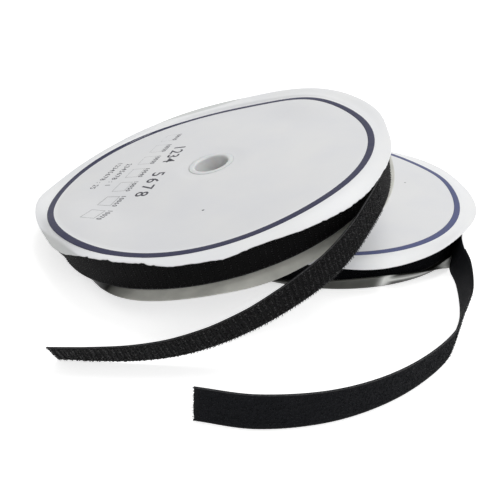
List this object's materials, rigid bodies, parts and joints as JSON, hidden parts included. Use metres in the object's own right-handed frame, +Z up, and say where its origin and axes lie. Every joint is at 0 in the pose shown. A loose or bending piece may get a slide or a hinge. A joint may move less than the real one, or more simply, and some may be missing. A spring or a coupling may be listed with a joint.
{
  "type": "hook and loop tape rolls",
  "caption": "Pair of flanged rolls of sew-on hook and loop tape, one leaning on the other, each with its bore and a free tape end lying in front.",
  "frame": {"origin": "on the table, under the middle of the overall box", "axes": "+Z up, +X to the right and +Y away from the front, where both free tape ends lie"},
  "size_m": [0.3262, 0.3636, 0.0899],
  "materials": {
    "coated_card": "satin white coated card, thin and flexible",
    "white_plastic": "moulded white plastic, semi-gloss",
    "ring_ink": "navy and grey printing ink",
    "hook_weave": "black nylon tape with cut monofilament hooks",
    "loop_weave": "black nylon tape with brushed loops"
  },
  "bodies": {
    "tapes": {"hook_tape_strip": "hook_weave", "loop_tape_strip": "loop_weave"},
    "hook_roll": {"hook_hub": "white_plastic", "hook_core": "white_plastic", "hook_top_disc": "coated_card", "hook_bottom_disc": "coated_card", "hook_tape_pack": "hook_weave"},
    "loop_roll": {"loop_hub": "white_plastic", "loop_core": "white_plastic", "loop_top_disc": "coated_card", "loop_bottom_disc": "coated_card", "loop_tape_pack": "loop_weave"}
  },
  "joints": [
    {"name": "hook_roll_turn", "type": "hinge", "parent": "tapes", "child": "hook_roll", "pos_m": [-0.03972, 0.007, 0.04494], "axis": [-0.2698, -0.0525, 0.9615], "continuous": true},
    {"name": "loop_roll_turn", "type": "hinge", "parent": "tapes", "child": "loop_roll", "pos_m": [0.03805, 0.05676, 0.011], "axis": [0, 0, 1], "continuous": true}
  ]
}
